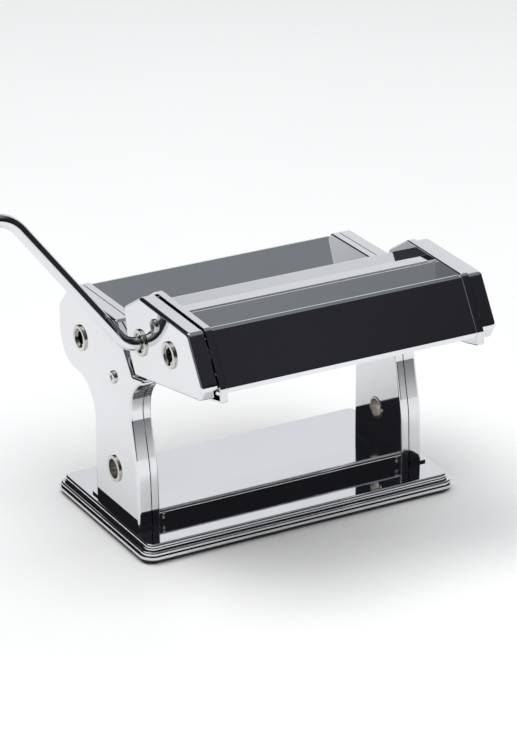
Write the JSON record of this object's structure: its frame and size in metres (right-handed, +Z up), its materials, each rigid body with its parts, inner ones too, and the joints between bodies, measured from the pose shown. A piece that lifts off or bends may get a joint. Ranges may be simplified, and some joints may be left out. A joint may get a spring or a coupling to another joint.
{
  "type": "pasta roller machine",
  "caption": "Chromed manual pasta machine: legs on a tray base carry smooth rollers, a lift-off double cutter head and a plug-in crank.",
  "frame": {"origin": "centre of the flat underside that the machine stands on", "axes": "X along the rollers with the crank on -X, -Y towards the cutter head in front, +Z up"},
  "size_m": [0.3776, 0.1865, 0.2248],
  "materials": {
    "chrome_shell": "mirror-bright chromed sheet steel",
    "chrome_plate": "bright chromed sheet, slightly brushed",
    "base_chrome": "mirror-bright chromed pressed steel",
    "roller_steel": "hard-chromed ground rollers",
    "blade_steel": "machined cutter discs",
    "gear_steel": "oiled machined steel",
    "fastener_steel": "zinc-plated, cross recess",
    "bush_steel": "turned steel bushes",
    "bearing_plastic": "natural acetal",
    "comb_plastic": "natural acetal",
    "black_plastic": "moulded black plastic with a fine texture",
    "rubber": "matt black non-slip rubber",
    "crank_chrome": "bright chromed bent rod",
    "dial_chrome": null,
    "spring_steel": "drawn wire"
  },
  "bodies": {
    "machine_body": {"base_plate": "base_chrome", "base_underlay": "black_plastic", "rubber_mat": "rubber", "base_screws": "fastener_steel", "foot_blocks": "gear_steel", "front_cross_bar": "base_chrome", "left_outer_housing": "chrome_shell", "right_outer_housing": "chrome_shell", "left_inner_plate": "chrome_plate", "right_inner_plate": "chrome_plate", "left_clamp_socket": "bush_steel", "right_clamp_socket": "bush_steel", "roller_bushes": "bearing_plastic", "roller_crank_bush": "bush_steel", "housing_tie_rods": "fastener_steel", "housing_screws": "fastener_steel", "rear_scraper": "chrome_plate", "front_scraper": "chrome_plate", "rear_guide_plate": "chrome_plate", "front_guide_plate": "chrome_plate", "dial_plate": "dial_chrome", "cutter_rails": "gear_steel"},
    "rear_roller": {"rear_smooth_roller": "roller_steel", "rear_roller_gear": "gear_steel"},
    "roller_carriage": {"left_bearing_block": "bearing_plastic", "right_bearing_block": "bearing_plastic"},
    "front_roller": {"front_smooth_roller": "roller_steel", "front_roller_gear": "gear_steel"},
    "selector": {"selector_shaft": "fastener_steel", "selector_cams": "gear_steel", "selector_end_cap": "fastener_steel"},
    "knob": {"selector_knob": "black_plastic", "index_pin": "fastener_steel", "knob_spring": "spring_steel"},
    "cutter_head": {"left_cutter_cover": "chrome_shell", "right_cutter_cover": "chrome_shell", "left_cutter_plate": "chrome_plate", "right_cutter_plate": "chrome_plate", "cutter_bushes": "bearing_plastic", "cutter_tongues": "gear_steel", "cutter_front_panel": "chrome_shell", "front_hopper_plate": "chrome_plate", "rear_hopper_plate": "chrome_plate", "back_hopper_plate": "chrome_plate", "cutter_tie_rods": "fastener_steel", "cutter_screws": "fastener_steel", "cutter_crank_bushes": "bush_steel", "wide_combs": "comb_plastic", "narrow_combs": "comb_plastic"},
    "wide_drive": {"wide_drive_cutter": "blade_steel", "wide_drive_gear": "gear_steel"},
    "wide_idle": {"wide_idle_cutter": "blade_steel", "wide_idle_gear": "gear_steel"},
    "narrow_drive": {"narrow_drive_cutter": "blade_steel", "narrow_drive_gear": "gear_steel"},
    "narrow_idle": {"narrow_idle_cutter": "blade_steel", "narrow_idle_gear": "gear_steel"},
    "crank": {"crank_rod": "crank_chrome", "crank_end_cap": "crank_chrome"},
    "grip": {"crank_grip": "black_plastic"}
  },
  "joints": [
    {"name": "rear_roller_spin", "type": "hinge", "parent": "machine_body", "child": "rear_roller", "pos_m": [0, 0.0379, 0.1062], "axis": [1, 0, 0], "continuous": true},
    {"name": "carriage_slide", "type": "slide", "parent": "machine_body", "child": "roller_carriage", "axis": [0, 0.9903, -0.1392], "range_m": [0, 0.0022]},
    {"name": "front_roller_spin", "type": "hinge", "parent": "roller_carriage", "child": "front_roller", "pos_m": [0, 0.01265, 0.10975], "axis": [1, 0, 0], "continuous": true},
    {"name": "selector_turn", "type": "hinge", "parent": "machine_body", "child": "selector", "pos_m": [0, -0.00339, 0.112], "axis": [1, 0, 0], "range_deg": [0, 270]},
    {"name": "knob_pull", "type": "slide", "parent": "selector", "child": "knob", "axis": [1, 0, 0], "range_m": [0, 0.003], "stiffness_N_per_m": 400, "springref_m": -0.004, "deforming": ["knob_spring"]},
    {"name": "cutter_lift", "type": "slide", "parent": "machine_body", "child": "cutter_head", "axis": [0, 0.5935, 0.8048], "range_m": [0, 0.07]},
    {"name": "wide_drive_spin", "type": "hinge", "parent": "cutter_head", "child": "wide_drive", "pos_m": [0, -0.0413, 0.1314], "axis": [1, 0, 0], "continuous": true},
    {"name": "wide_idle_spin", "type": "hinge", "parent": "cutter_head", "child": "wide_idle", "pos_m": [0, -0.05672, 0.13374], "axis": [1, 0, 0], "continuous": true},
    {"name": "narrow_drive_spin", "type": "hinge", "parent": "cutter_head", "child": "narrow_drive", "pos_m": [0, -0.0776, 0.1369], "axis": [1, 0, 0], "continuous": true},
    {"name": "narrow_idle_spin", "type": "hinge", "parent": "cutter_head", "child": "narrow_idle", "pos_m": [0, -0.09302, 0.13924], "axis": [1, 0, 0], "continuous": true},
    {"name": "crank_pull", "type": "slide", "parent": "wide_drive", "child": "crank", "axis": [-1, 0, 0], "range_m": [0, 0.026]},
    {"name": "grip_spin", "type": "hinge", "parent": "crank", "child": "grip", "pos_m": [-0.1655, -0.0212, 0.2132], "axis": [1, 0, 0], "continuous": true}
  ],
  "couplings": [
    {"joint": "front_roller_spin", "follows": "rear_roller_spin", "ratio": -1},
    {"joint": "selector_turn", "follows": "carriage_slide", "rad_per_m": 2142},
    {"joint": "wide_idle_spin", "follows": "wide_drive_spin", "ratio": -1},
    {"joint": "narrow_idle_spin", "follows": "narrow_drive_spin", "ratio": -1}
  ]
}
